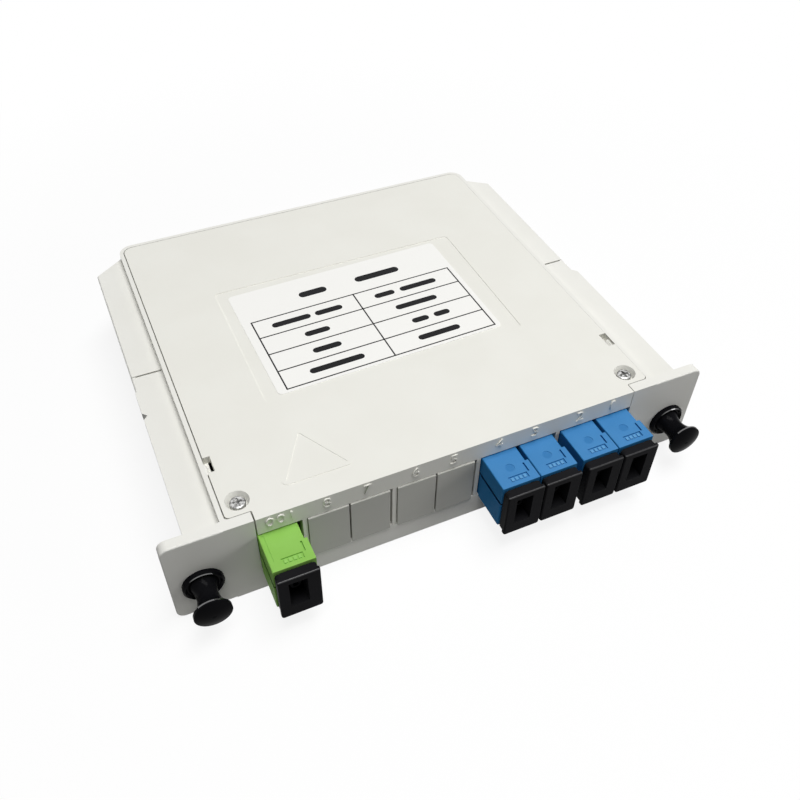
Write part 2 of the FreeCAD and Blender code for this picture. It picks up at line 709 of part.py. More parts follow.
def adapter(cell, own_mark):
    """Adapter housing with a port at each end and the sleeve holder across its middle."""
    x = port_middle(cell)
    half_w = ADAPTER_WIDTH / 2
    half_h = ADAPTER_HEIGHT / 2
    rear = ADAPTER_FRONT + ADAPTER_LENGTH
    section = rectangle(x - half_w, x + half_w, ADAPTER_Z - half_h, ADAPTER_Z + half_h, ADAPTER_EDGE_R)
    housing = front_prism(section, ADAPTER_FRONT, rear).fuse(adapter_cheeks(x))
    port = (x - PORT_WIDTH / 2, x + PORT_WIDTH / 2)
    port_z = (ADAPTER_Z - PORT_HEIGHT / 2, ADAPTER_Z + PORT_HEIGHT / 2)
    cuts = adapter_marks(x) + [own_mark(x)]
    for front in (ADAPTER_FRONT, rear - PORT_DEPTH):
        cuts.append(block(port[0], port[1], front, front + PORT_DEPTH, port_z[0], port_z[1]))
    housing = housing.cut(cuts)
    half_sleeve = SLEEVE_LENGTH / 2
    reach = half_sleeve + HOLDER_LIP
    holder = rod_y(x, ADAPTER_Z, HOLDER_R, ADAPTER_MID - reach, ADAPTER_MID + reach)
    bore = rod_y(x, ADAPTER_Z, SLEEVE_R + FIT, ADAPTER_MID - half_sleeve, ADAPTER_MID + half_sleeve)
    mouth = rod_y(x, ADAPTER_Z, LIP_BORE_R, ADAPTER_MID - reach, ADAPTER_MID + reach)
    return housing.fuse(holder).cut([bore, mouth])


def split_sleeve(cell):
    """Slit ceramic sleeve that lines the ferrules up."""
    x = port_middle(cell)
    front = ADAPTER_MID - SLEEVE_LENGTH / 2
    sleeve = rod_y(x, ADAPTER_Z, SLEEVE_R, front, front + SLEEVE_LENGTH)
    sleeve = sleeve.cut(rod_y(x, ADAPTER_Z, SLEEVE_R - SLEEVE_WALL, front, front + SLEEVE_LENGTH))
    half = SLEEVE_SLIT / 2
    slit = block(x - half, x + half, front, front + SLEEVE_LENGTH, ADAPTER_Z, ADAPTER_Z + 2 * SLEEVE_R)
    return sleeve.cut(slit)


def dust_cap(cell):
    """Cap with a flange and a neck outside the port, a stub in it and a pin in its open mouth."""
    x = port_middle(cell)
    middle = x + CHEEK / 2
    half_w = CAP_WIDTH / 2
    top = ADAPTER_Z + CAP_HEIGHT / 2 - CAP_DROP
    low = top - CAP_HEIGHT
    corners = [(middle - half_w, low, CAP_LOWER_R), (middle + half_w, low, CAP_LOWER_R),
               (middle + half_w, top, CAP_CORNER_R), (middle - half_w, top, CAP_CORNER_R)]
    flange = front_prism(corners, CAP_FRONT, CAP_FRONT + CAP_FLANGE)
    upper_edge = [edge for edge in flange.Edges
                  if edge.BoundBox.ZMin > top - FIT and edge.BoundBox.YMax < CAP_FRONT + FIT]
    flange = flange.makeFillet(CAP_EDGE_R, upper_edge)
    neck_w = half_w - CAP_NECK_INSET
    neck = front_prism(rectangle(middle - neck_w, middle + neck_w, low + CAP_NECK_INSET, top - CAP_NECK_INSET,
                                 CAP_NECK_R), CAP_FRONT + CAP_FLANGE / 2, CAP_BACK)
    stub_w = PORT_WIDTH / 2 - CAP_STUB_GAP
    stub_h = PORT_HEIGHT / 2 - CAP_STUB_GAP
    stub_end = ADAPTER_FRONT + CAP_STUB
    section = rectangle(x - stub_w, x + stub_w, ADAPTER_Z - stub_h, ADAPTER_Z + stub_h, CAP_CORNER_R)
    stub = front_prism(section, CAP_BACK - CAP_FLANGE / 2, stub_end)
    pocket_floor = stub_end - CAP_FLOOR
    half_pocket = CAP_POCKET_WIDTH / 2
    pocket_low = ADAPTER_Z - CAP_POCKET_HEIGHT / 2
    pocket_high = pocket_low + CAP_POCKET_HEIGHT
    pocket = block(x - half_pocket, x + half_pocket, CAP_FRONT - BEYOND, pocket_floor,
                   pocket_low, pocket_high)
    mouth = block(x - half_pocket, x + half_pocket, CAP_FRONT - BEYOND, CAP_BACK,
                  pocket_low, pocket_high + CAP_MOUTH_RISE)
    pin = rod_y(x, ADAPTER_Z, CAP_PIN_R, CAP_FRONT + CAP_PIN_DROP, pocket_floor + CAP_FLOOR / 2)
    bore = rod_y(x, ADAPTER_Z, CAP_PIN_BORE_R, CAP_FRONT + CAP_PIN_DROP, pocket_floor)
    return flange.fuse([neck, stub]).cut([pocket, mouth]).fuse(pin.cut(bore)).removeSplitter()


def port_blank(cell):
    """Snap-in blank: bevelled face with a thin lip over the band, and an upper and a lower barbed leg."""
    x = cell - BLANK_SHIFT
    half = PORT_CELL / 2 - BLANK_GAP
    low = BAND_HEIGHT
    high = SKIRT_BOTTOM - PANEL_GAP
    back = BLANK_FACE - BLANK_PROUD
    face = block(x - half, x + half, -BLANK_PROUD, back, low, high)
    top_edge = [edge for edge in face.Edges
                if edge.BoundBox.ZMin > high - FIT and edge.BoundBox.YMax < FIT - BLANK_PROUD]
    face = face.makeChamfer(BLANK_BEVEL, top_edge)
    lip = block(x - half, x + half, -BLANK_PROUD, -PANEL_GAP, low - BLANK_LIP, low + BLANK_LIP)
    tip = back + BLANK_LEG_LENGTH
    barb = PANEL_THICK + COVER_GAP
    legs = []
    inner = half - BLANK_LEG_THICK
    for foot, way, reach in ((low, 1, 0.0), (high, -1, BLANK_BARB)):
        inside = foot + way * BLANK_LEG_THICK
        side = [(back - BLANK_FACE / 2, foot), (barb, foot), (barb, foot - way * reach),
                (tip, foot + way * BLANK_LEG_THICK / 2), (tip, inside), (back - BLANK_FACE / 2, inside)]
        points = [FreeCAD.Vector(x - inner, y, z) for y, z in side]
        if reach == 0.0:
            points.pop(2)
        wire = Part.makePolygon(points + [points[0]])
        legs.append(Part.Face(wire).extrude(X_AXIS * (2 * inner)))
    return face.fuse(legs + [lip]).removeSplitter()


def latch_grommet(x):
    """Flanged grommet with a split, barbed shank behind the ear."""
    bore = PLUNGER_PIN_R + FIT
    shank_end = PANEL_THICK + GROMMET_LENGTH
    neck_end = PANEL_THICK + PANEL_GAP
    start = PANEL_THICK + GROMMET_SLIT_START
    profile = [
        (bore, LATCH_FACE + GROMMET_DISH),
        (GROMMET_DISH_R, LATCH_FACE + GROMMET_DISH),
        (GROMMET_DISH_R + GROMMET_EDGE, LATCH_FACE),
        (GROMMET_FLANGE_R - GROMMET_EDGE, LATCH_FACE),
        (GROMMET_FLANGE_R, LATCH_FACE + GROMMET_EDGE),
        (GROMMET_FLANGE_R, 0),
        (GROMMET_LEG_R, 0),
        (GROMMET_LEG_R, neck_end),
        (GROMMET_COLLAR_R, neck_end),
        (GROMMET_COLLAR_R, start),
        (GROMMET_LEG_R, start),
        (GROMMET_LEG_R, shank_end - GROMMET_LEAD),
        (GROMMET_TIP_R, shank_end),
        (bore, shank_end),
    ]
    grommet = turned(profile, x, LATCH_Z)
    half = GROMMET_SLIT / 2
    reach = GROMMET_LEG_R + BEYOND
    slits = [
        block(x - half, x + half, start, shank_end + BEYOND, LATCH_Z - reach, LATCH_Z + reach),
        block(x - reach, x + reach, start, shank_end + BEYOND, LATCH_Z - half, LATCH_Z + half),
    ]
    return grommet.cut(slits)


def latch_plunger(x):
    """Spool-shaped knob on a pin that spreads the grommet."""
    foot = LATCH_FACE + GROMMET_DISH - PLUNGER_SEAT_GAP
    tip = PANEL_THICK + GROMMET_LENGTH - PLUNGER_END_GAP
    front = -PLUNGER_REACH
    rim_front = front + PLUNGER_DOME
    rim_back = rim_front + PLUNGER_HEAD_RIM
    waist = (foot + rim_back) / 2
    dome_r = (PLUNGER_HEAD_R ** 2 + PLUNGER_DOME ** 2) / (2 * PLUNGER_DOME)
    half_turn = math.asin(PLUNGER_HEAD_R / dome_r) / 2
    dome_mid = (dome_r * math.sin(half_turn), front + dome_r * (1 - math.cos(half_turn)))
    corners = [
        (0, front),
        (0, tip),
        (PLUNGER_TIP_R, tip),
        (PLUNGER_PIN_R, tip - PLUNGER_TIP),
        (PLUNGER_PIN_R, foot),
        (PLUNGER_FOOT_R, foot),
        (PLUNGER_HEAD_R, rim_back),
        (PLUNGER_HEAD_R, rim_front),
    ]
    stops = [FreeCAD.Vector(radius, y, 0) for radius, y in corners]
    edges = [Part.LineSegment(stops[i], stops[i + 1]) for i in (0, 1, 2, 3, 4, 6)]
    edges.insert(5, Part.Arc(stops[5], FreeCAD.Vector(PLUNGER_WAIST_R, waist, 0), stops[6]))
    edges.append(Part.Arc(stops[7], FreeCAD.Vector(dome_mid[0], dome_mid[1], 0), stops[0]))
    wire = Part.Wire([edge.toShape() for edge in edges])
    knob = Part.Face(wire).revolve(FreeCAD.Vector(0, 0, 0), Y_AXIS, 360)
    knob.translate(FreeCAD.Vector(x, 0, LATCH_Z))
    return knob


def inner_plug(cell):
    """Plug body seated in the adapter's rear port, with its tapered boot."""
    x = port_middle(cell)
    half_w = PORT_WIDTH / 2 - PLUG_GAP
    half_h = PORT_HEIGHT / 2 - PLUG_GAP
    body = front_prism(rectangle(x - half_w, x + half_w, ADAPTER_Z - half_h, ADAPTER_Z + half_h,
                                 PLUG_CORNER_R), PLUG_FRONT, PLUG_REAR)
    body = body.cut(rod_y(x, ADAPTER_Z, HOLDER_R + PLUG_BORE_GAP, PLUG_FRONT, PLUG_FRONT + PLUG_BORE_DEPTH))
    boot = Part.makeCone(PLUG_BOOT_R, PLUG_BOOT_TIP_R, PLUG_BOOT_LENGTH,
                         FreeCAD.Vector(x, PLUG_REAR, ADAPTER_Z), Y_AXIS)
    return body.fuse(boot)


def plug_ferrule(cell):
    """Ceramic ferrule from the adapter's middle into the plug."""
    x = port_middle(cell)
    return rod_y(x, ADAPTER_Z, FERRULE_R, ADAPTER_MID, PLUG_FRONT + PLUG_BORE_DEPTH)


def lead_fibre(cell, row):
    """One fibre: straight back from the plug, one quarter bend, then along X to the splitter's boot."""
    x = port_middle(cell)
    side = math.copysign(1.0, cell)
    y = row_y(row)
    end_x = side * (CASE_LENGTH / 2 + CASE_BOOT) + CASE_MIDDLE
    start = FreeCAD.Vector(x, PLUG_REAR + PLUG_BOOT_LENGTH, ADAPTER_Z)
    bend_in = FreeCAD.Vector(x, y - FIBRE_BEND_R, ADAPTER_Z)
    bend_out = FreeCAD.Vector(x - side * FIBRE_BEND_R, y, ADAPTER_Z)
    slant = FIBRE_BEND_R * (1 - math.sqrt(0.5))
    bend_mid = FreeCAD.Vector(x - side * slant, y - slant, ADAPTER_Z)
    end = FreeCAD.Vector(end_x, y, ADAPTER_Z)
    path = Part.Wire([
        Part.LineSegment(start, bend_in).toShape(),
        Part.Arc(bend_in, bend_mid, bend_out).toShape(),
        Part.LineSegment(bend_out, end).toShape(),
    ])
    section = Part.Wire([Part.Circle(start, Y_AXIS, FIBRE_R).toShape()])
    return path.makePipeShell([section], True, False)


def splitter_case():
    """Steel case of the splitter."""
    half_x = CASE_LENGTH / 2
    half_y = CASE_WIDTH / 2
    corners = rectangle(CASE_MIDDLE - half_x, CASE_MIDDLE + half_x, CASE_Y - half_y, CASE_Y + half_y)
    case = plan_prism(corners, ADAPTER_Z - CASE_THICK / 2, ADAPTER_Z + CASE_THICK / 2)
    long_edges = [edge for edge in case.Edges if edge.BoundBox.XLength > half_x]
    return case.makeFillet(CASE_CORNER_R, long_edges)


def case_boot(side):
    """Soft boot where the fibres enter the case."""
    half_y = CASE_WIDTH / 2 - CASE_BOOT_STEP
    half_z = CASE_THICK / 2 - CASE_BOOT_STEP
    near = CASE_MIDDLE + side * CASE_LENGTH / 2
    ends = sorted([near, near + side * CASE_BOOT])
    boot = block(ends[0], ends[1], CASE_Y - half_y, CASE_Y + half_y, ADAPTER_Z - half_z, ADAPTER_Z + half_z)
    outer = [edge for edge in boot.Edges if edge.BoundBox.XLength > CASE_BOOT / 2]
    return boot.makeFillet(CASE_CORNER_R, outer)


def case_span():
    """X of the case's ends: it lies between the input bend and the nearest output bend."""
    cells = port_cells()
    room = FIBRE_BEND_R + CASE_BEND_ROOM + CASE_BOOT
    return cells["input"] + room, cells["4"] - room


def saddle_places():
    """X of the two saddles under the case."""
    return [CASE_MIDDLE + side * (CASE_LENGTH / 2 - SADDLE_INSET) for side in (-1, 1)]


CASE_LEFT, CASE_RIGHT = case_span()
CASE_LENGTH = CASE_RIGHT - CASE_LEFT
CASE_MIDDLE = (CASE_LEFT + CASE_RIGHT) / 2


def splitter_parts():
    """Every piece by its node name."""
    cells = port_cells()
    pieces = {"base_tray": base_tray(), "top_cover": top_cover(), "cover_label": cover_label()}
    for name, side in (("left", -1), ("right", 1)):
        pieces["cover_screw_" + name] = cover_screw(side * SCREW_X)
        pieces["latch_grommet_" + name] = latch_grommet(side * LATCH_X)
        pieces["latch_plunger_" + name] = latch_plunger(side * LATCH_X)
        pieces["case_boot_" + name] = case_boot(side)
    for name, cell in cells.items():
        if name in BLANKED:
            pieces["port_blank_" + name] = port_blank(cell)
            continue
        pieces["adapter_" + name] = adapter(cell, key_line if name == "input" else gate_mark)
        pieces["split_sleeve_" + name] = split_sleeve(cell)
        pieces["dust_cap_" + name] = dust_cap(cell)
        pieces["inner_plug_" + name] = inner_plug(cell)
        pieces["plug_ferrule_" + name] = plug_ferrule(cell)
        pieces["lead_fibre_" + name] = lead_fibre(cell, FIBRE_ROWS.get(name, MIDDLE_ROW))
    pieces["splitter_case"] = splitter_case()
    return pieces


def export(pieces):
    """Writes each piece with the origin under the middle of the whole part."""
    for name, shape in pieces.items():
        shape.translate(FreeCAD.Vector(0, -ORIGIN_Y, 0))
        if not shape.isValid():
            raise ValueError(name + " is not valid")
        shape.exportStep("parts/" + name + ".step")
        print(name, len(shape.Solids), round(shape.Volume, 2))


export(splitter_parts())
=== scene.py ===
"""Dresses the plug-in fibre splitter cassette: finishes, port numbers, label print, light, camera.

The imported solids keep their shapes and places. The classes below give them their finishes and add
what is printed or raised in fine detail. Metres throughout; MM turns sizes written in millimetres.
"""

import enum
import json
import logging
import math
from dataclasses import dataclass, field, replace

import bmesh
import bpy
from mathutils import Matrix, Vector

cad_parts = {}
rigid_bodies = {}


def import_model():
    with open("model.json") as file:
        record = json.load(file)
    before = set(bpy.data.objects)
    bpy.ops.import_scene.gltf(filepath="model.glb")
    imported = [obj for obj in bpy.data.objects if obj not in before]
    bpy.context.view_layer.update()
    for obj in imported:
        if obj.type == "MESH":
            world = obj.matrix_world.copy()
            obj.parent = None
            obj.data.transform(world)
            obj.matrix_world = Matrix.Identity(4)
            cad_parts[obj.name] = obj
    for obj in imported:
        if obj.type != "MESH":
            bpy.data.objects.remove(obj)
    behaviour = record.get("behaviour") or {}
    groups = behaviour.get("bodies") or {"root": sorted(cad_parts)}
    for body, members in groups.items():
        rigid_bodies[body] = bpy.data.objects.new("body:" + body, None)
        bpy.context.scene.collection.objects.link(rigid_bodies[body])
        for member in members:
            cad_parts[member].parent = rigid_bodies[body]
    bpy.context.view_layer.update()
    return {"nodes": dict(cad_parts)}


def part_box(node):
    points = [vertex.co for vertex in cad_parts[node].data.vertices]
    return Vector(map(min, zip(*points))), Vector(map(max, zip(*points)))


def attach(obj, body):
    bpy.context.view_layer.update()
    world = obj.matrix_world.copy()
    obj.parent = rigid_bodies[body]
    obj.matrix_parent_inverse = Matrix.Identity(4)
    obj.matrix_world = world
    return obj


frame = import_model()

MM = 0.001
PORTS = ("input", "4", "3", "2", "1")
BLANKS = ("8", "7", "6", "5")
WHITE = (1.0, 1.0, 1.0, 1.0)
PLAIN_COAT_IOR = 1.5
SAME_PLACE = 1e-7
FINE_DETAIL = 3.0
LOG = logging.getLogger("splitter_scene")


class Body(enum.Enum):
    """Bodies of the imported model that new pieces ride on."""

    HOUSING = "housing"


class Slot(enum.Enum):
    """Material slot names of the record, picked for each adapter's marks but not applied to any
    piece.
    """

    COVER = "cover_plastic"
    LABEL = "label_film"
    GREEN = "adapter_green"
    BLUE = "adapter_blue"


class Wire:
    """A node socket whose arithmetic adds Math nodes, so that maths reads as an expression."""

    def __init__(self, graph: "Graph", socket: bpy.types.NodeSocket) -> None:
        """Wraps a socket.

        Args:
            graph: The graph that owns the socket.
            socket: An output socket.
        """
        self.graph = graph
        self.socket = socket

    def _math(self, operation: str, *values: "Wire | float") -> "Wire":
        """Adds one Math node and returns its result."""
        node = self.graph.add("ShaderNodeMath", {"operation": operation}, dict(enumerate(values)))
        return Wire(self.graph, node.outputs[0])

    def __add__(self, other: "Wire | float") -> "Wire":
        """Sum."""
        return self._math("ADD", self, other)

    def __radd__(self, other: float) -> "Wire":
        """Sum, with the number first."""
        return self._math("ADD", other, self)

    def __sub__(self, other: "Wire | float") -> "Wire":
        """Difference."""
        return self._math("SUBTRACT", self, other)

    def __rsub__(self, other: float) -> "Wire":
        """Difference, with the number first."""
        return self._math("SUBTRACT", other, self)

    def __mul__(self, other: "Wire | float") -> "Wire":
        """Product."""
        return self._math("MULTIPLY", self, other)

    def __pow__(self, power: float) -> "Wire":
        """Power."""
        return self._math("POWER", self, power)

    def __abs__(self) -> "Wire":
        """Size without sign."""
        return self._math("ABSOLUTE", self)

    def sine(self) -> "Wire":
        """Sine of an angle in radians."""
        return self._math("SINE", self)

    def step(self, low: float, high: float) -> "Wire":
        """Smooth step from 0 at low to 1 at high."""
        node = self.graph.add(
            "ShaderNodeMapRange",
            {"interpolation_type": "SMOOTHSTEP"},
            {"Value": self, "From Min": low, "From Max": high},
        )
        return Wire(self.graph, node.outputs[0])


class Graph:
    """The nodes of one material, world or geometry tree."""

    def __init__(self, tree: bpy.types.NodeTree) -> None:
        """Empties a tree and takes it over.

        Args:
            tree: The node tree to fill.
        """
        self.tree = tree
        tree.nodes.clear()

    def add(
        self, kind: str, settings: dict | None = None, sockets: dict | None = None
    ) -> bpy.types.Node:
        """Adds a node.

        Args:
            kind: The node's type name.
            settings: Its properties, set first.
            sockets: Values or links of its inputs, by name or number.

        Returns:
            The new node.
        """
        node = self.tree.nodes.new(kind)
        for key, value in (settings or {}).items():
            setattr(node, key, value)
        for key, value in (sockets or {}).items():
            target = node.inputs[key]
            if isinstance(value, Wire):
                self.tree.links.new(value.socket, target)
            elif isinstance(value, bpy.types.NodeSocket):
                self.tree.links.new(value, target)
            else:
                target.default_value = value
        return node

    def place(self) -> bpy.types.NodeSocket:
        """Object coordinates."""
        return self.add("ShaderNodeTexCoord").outputs["Object"]

    def axes(self) -> tuple[Wire, Wire, Wire]:
        """Object coordinates as three numbers."""
        node = self.add("ShaderNodeSeparateXYZ", None, {0: self.place()})
        return tuple(Wire(self, output) for output in node.outputs)

    def upward(self) -> Wire:
        """How far the surface faces up, from -1 to 1."""
        normal = self.add("ShaderNodeTexCoord").outputs["Normal"]
        return Wire(self, self.add("ShaderNodeSeparateXYZ", None, {0: normal}).outputs[2])

    def noise(
        self, size: float, detail: float = 2.0, stretch: tuple[float, float, float] = (1, 1, 1)
    ) -> Wire:
        """Soft noise.

        Args:
            size: Length of one blotch, in metres.
            detail: Octaves of finer noise.
            stretch: How much denser the noise is along each axis.

        Returns:
            A number about 0.5.
        """
        turned = self.add("ShaderNodeMapping", None, {"Vector": self.place(), "Scale": stretch})
        node = self.add(
            "ShaderNodeTexNoise",
            None,
            {"Vector": turned.outputs[0], "Scale": 1 / size, "Detail": detail},
        )
        return Wire(self, node.outputs[0])

    def blend(
        self, share: Wire, low: "tuple | bpy.types.NodeSocket", high: tuple
    ) -> bpy.types.NodeSocket:
        """Mixes two colours by a number.

        Args:
            share: 0 for the low colour, 1 for the high one.
            low: First colour, or the socket that gives it.
            high: Second colour.

        Returns:
            The mixed colour's socket.
        """
        first = (*low, 1.0) if isinstance(low, tuple) else low
        node = self.add(
            "ShaderNodeMix",
            {"data_type": "RGBA", "clamp_factor": True},
            {0: share, 6: first, 7: (*high, 1.0)},
        )
        return node.outputs[2]

    def bump(self, height: Wire, depth: float) -> bpy.types.NodeSocket:
        """Bump from a height between 0 and 1.

        Args:
            height: The relief.
            depth: Its real depth in metres.

        Returns:
            The normal's socket.
        """
        node = self.add(
            "ShaderNodeBump", None, {"Height": height, "Distance": depth, "Strength": 1.0}
        )
        return node.outputs[0]

    def mix(
        self, share: Wire, low: bpy.types.Node, high: bpy.types.Node
    ) -> bpy.types.Node:
        """Mixes two shaders by a number, 0 for the low one and 1 for the high one."""
        return self.add(
            "ShaderNodeMixShader", None, {0: share, 1: low.outputs[0], 2: high.outputs[0]}
        )

    def surface(self, shader: bpy.types.Node) -> None:
        """Links a shader to the material's output."""
        output = self.add("ShaderNodeOutputMaterial")
        self.tree.links.new(shader.outputs[0], output.inputs["Surface"])


def new_material(name: str) -> tuple[bpy.types.Material, Graph]:
    """Makes an empty node material.

    Args:
        name: The material's name.

    Returns:
        The material and its graph.
    """
    material = bpy.data.materials.new(name)
    material.use_nodes = True
    return material, Graph(material.node_tree)


@dataclass(frozen=True)
class Polish:
    """A sheen on faces that look up, above a height and in bands between two depths."""

    above: float
    bands: tuple[tuple[float, float], ...]
    soft: float
    facing: float
    weight: float
    roughness: float
    ior: float
    facing_soft: float = 0.2

    def mask(self, graph: Graph) -> Wire:
        """How much of the polish shows at a place."""
        _, y, z = graph.axes()
        inside = 0.0
        for front, rear in self.bands:
            inside = y.step(front - self.soft, front) * (1 - y.step(rear, rear + self.soft)) + inside
        facing = graph.upward().step(self.facing, self.facing + self.facing_soft)
        return z.step(self.above, self.above + self.soft) * inside * facing * self.weight


@dataclass(frozen=True)
class Moulding:
    """Moulded plastic, rubber or ceramic with a fine grain and faint flow clouds."""

    name: str
    colour: tuple[float, float, float]
    deep: tuple[float, float, float]
    roughness: float
    grain: float = 0.35 * MM
    grain_depth: float = 0.006 * MM
    cloud: float = 14 * MM
    cloud_steps: tuple[float, float] = (0.25, 0.75)
    smear_parts: float = 3.0
    smear_stretch: tuple[float, float, float] = (1.0, 0.25, 1.0)
    gloss_spread: float = 0.10
    specular: float = 0.5
    polish: Polish | None = None

    def _tint(self, graph: Graph) -> bpy.types.NodeSocket:
        """The base colour."""
        clouds = graph.noise(self.cloud, FINE_DETAIL).step(*self.cloud_steps)
        return graph.blend(clouds, self.deep, self.colour)

    def make(self) -> bpy.types.Material:
        """Builds the material."""
        material, graph = new_material(self.name)
        grain = graph.noise(self.grain)
        smear = graph.noise(self.cloud / self.smear_parts, stretch=self.smear_stretch)
        rough = self.roughness + (smear - 0.5) * self.gloss_spread
        rough = rough + (grain - 0.5) * self.gloss_spread
        shader = graph.add(
            "ShaderNodeBsdfPrincipled",
            None,
            {
                "Base Color": self._tint(graph),
                "Roughness": rough,
                "Normal": graph.bump(grain, self.grain_depth),
                "Specular IOR Level": self.specular,
                "Coat Weight": self.polish.mask(graph) if self.polish else 0.0,
                "Coat Roughness": self.polish.roughness if self.polish else 0.0,
                "Coat IOR": self.polish.ior if self.polish else PLAIN_COAT_IOR,
            },
        )
        graph.surface(shader)
        return material


@dataclass(frozen=True)
class AdapterPlastic(Moulding):
    """Adapter moulding with painted shade: a dark line in the side groove and a deeper tone on the
    gate mark in its top.
    """

    # Colour of the painted shade in the side groove.
    painted_groove_shade: tuple[float, float, float] = (0.0, 0.0, 0.0)
    middle_x: float = 0.0
    side_x: float = 0.0
    # Colour of the painted shade on the gate mark, or None for none.
    gate_painted_shade: tuple[float, float, float] | None = None
    gate_y: float = -50.2 * MM
    gate_r: float = 1.1 * MM
    gate_edge: tuple[float, float] = (0.6, 1.2)
    top_z: float = 18.5 * MM
    groove_low: float = 13.30 * MM
    groove_high: float = 13.77 * MM
    groove_depth: float = 0.45 * MM
    soft: float = 0.02 * MM

    def _tint(self, graph: Graph) -> bpy.types.NodeSocket:
        """The base colour with painted shade in the side groove and on the gate mark."""
        x, y, z = graph.axes()
        radius = ((x - self.middle_x) ** 2 + (y - self.gate_y) ** 2) ** 0.5
        inner, outer = (share * self.gate_r for share in self.gate_edge)
        # Painted shade: a darker disc on the gate mark's recess in the top face.
        gate_shade_mask = (1 - radius.step(inner, outer)) * z.step(self.top_z, self.top_z + self.soft)
        # Painted shade: a dark band in the side groove, from its low to its high edge and in to its
        # depth.
        level = z.step(self.groove_low - self.soft, self.groove_low)
        level = level * (1 - z.step(self.groove_high, self.groove_high + self.soft))
        edge = self.side_x + self.groove_depth
        groove_shade_mask = level * (1 - x.step(edge, edge + self.soft))
        tint = super()._tint(graph)
        if self.gate_painted_shade:
            tint = graph.blend(gate_shade_mask, tint, self.gate_painted_shade)
        return graph.blend(groove_shade_mask, tint, self.painted_groove_shade)


@dataclass(frozen=True)
class TurnedSteel:
    """Plated steel with fine rings about a pair of upright axes at plus and minus x."""

    name: str
    colour: tuple[float, float, float]
    axis_x: float
    axis_y: float
    ring: float = 0.12 * MM
    ring_depth: float = 0.003 * MM
    stain: float = 0.6 * MM
    stain_steps: tuple[float, float] = (0.35, 0.6)
    deep_share: float = 0.30
    roughness: float = 0.22
    gloss_spread: float = 0.16

    def make(self) -> bpy.types.Material:
        """Builds the material."""
        material, graph = new_material(self.name)
        x, y, _ = graph.axes()
        radius = ((abs(x) - self.axis_x) ** 2 + (y - self.axis_y) ** 2) ** 0.5
        rings = (radius * (2 * math.pi / self.ring)).sine() * 0.5 + 0.5
        stain = graph.noise(self.stain, FINE_DETAIL)
        deep = tuple(self.deep_share * part for part in self.colour)
        shader = graph.add(
            "ShaderNodeBsdfPrincipled",
            None,
            {
                "Base Color": graph.blend(stain.step(*self.stain_steps), deep, self.colour),
                "Metallic": 1.0,
                "Roughness": self.roughness + stain * self.gloss_spread,
                "Normal": graph.bump(rings, self.ring_depth),
            },
        )
        graph.surface(shader)
        return material


@dataclass(frozen=True)
class BrushedSteel:
    """Thin drawn steel with fine lines along X."""

    name: str
    colour: tuple[float, float, float]
    line: float = 0.4 * MM
    line_stretch: tuple[float, float, float] = (0.05, 1.0, 1.0)
    line_depth: float = 0.004 * MM
    line_steps: tuple[float, float] = (0.3, 0.7)
    deep_share: float = 0.8
    roughness: float = 0.28
    gloss_spread: float = 0.18

    def make(self) -> bpy.types.Material:
        """Builds the material."""
        material, graph = new_material(self.name)
        lines = graph.noise(self.line, FINE_DETAIL, self.line_stretch)
        deep = tuple(self.deep_share * part for part in self.colour)
        shader = graph.add(
            "ShaderNodeBsdfPrincipled",
            None,
            {
                "Base Color": graph.blend(lines.step(*self.line_steps), deep, self.colour),
                "Metallic": 1.0,
                "Roughness": self.roughness + lines * self.gloss_spread,
                "Normal": graph.bump(lines, self.line_depth),
            },
        )
        graph.surface(shader)
        return material


@dataclass(frozen=True)
class Film:
    """Coated label film or the ink on it."""

    name: str
    colour: tuple[float, float, float]
    deep: tuple[float, float, float]
    roughness: float
    specular: float = 0.4
    fibre: float = 0.25 * MM
    fibre_steps: tuple[float, float] = (0.2, 0.6)
    fibre_share: float = 0.1
    wave: float = 9 * MM
    wave_share: float = 0.9
    relief: float = 0.02 * MM
    gloss_spread: float = 0.12

    def make(self) -> bpy.types.Material:
        """Builds the material."""
        material, graph = new_material(self.name)
        fibre = graph.noise(self.fibre, FINE_DETAIL)
        wave = graph.noise(self.wave, 1.0)
        height = wave * self.wave_share + fibre * self.fibre_share
        shader = graph.add(
            "ShaderNodeBsdfPrincipled",
            None,
            {
                "Base Color": graph.blend(fibre.step(*self.fibre_steps), self.deep, self.colour),
                "Roughness": self.roughness + (fibre - 0.5) * self.gloss_spread,
                "Normal": graph.bump(height, self.relief),
                "Specular IOR Level": self.specular,
            },
        )
        graph.surface(shader)
        return material


WHITE_PLASTIC = Moulding(
    "cover_white", (0.845, 0.840, 0.785), (0.825, 0.818, 0.760), 0.50, specular=0.20,
)
TRAY_PLASTIC = Moulding(
    "tray_white", (0.850, 0.845, 0.800), (0.830, 0.824, 0.775), 0.48,
    grain=0.30 * MM, specular=0.20,
)
BLANK_PLASTIC = Moulding(
    "blank_grey", (0.55, 0.55, 0.51), (0.53, 0.53, 0.49), 0.46, specular=0.20,
)
ADAPTER_SHEEN = Polish(
    above=18.0 * MM, bands=((-60.0 * MM, -40.0 * MM),), soft=0.10 * MM,
    facing=0.60, weight=0.8, roughness=0.50, ior=1.5,
)
CAP_RIDGE = Polish(
    above=17.0 * MM, bands=((-57.70 * MM, -57.30 * MM),), soft=0.05 * MM,
    facing=0.35, weight=0.5, roughness=0.30, ior=1.6,
)
LATCH_RIMS = Polish(
    above=12.80 * MM, bands=((-52.98 * MM, -52.62 * MM), (-46.62 * MM, -46.48 * MM)),
    soft=0.06 * MM, facing=0.50, weight=1.0, roughness=0.10, ior=2.4,
)
# Each adapter's groove colour below is painted shade for the side groove.
GREEN_PLASTIC = AdapterPlastic(
    "adapter_green", (0.285, 0.560, 0.118), (0.262, 0.530, 0.100), 0.50,
    cloud=6 * MM, specular=0.04, painted_groove_shade=(0.050, 0.120, 0.020),
)
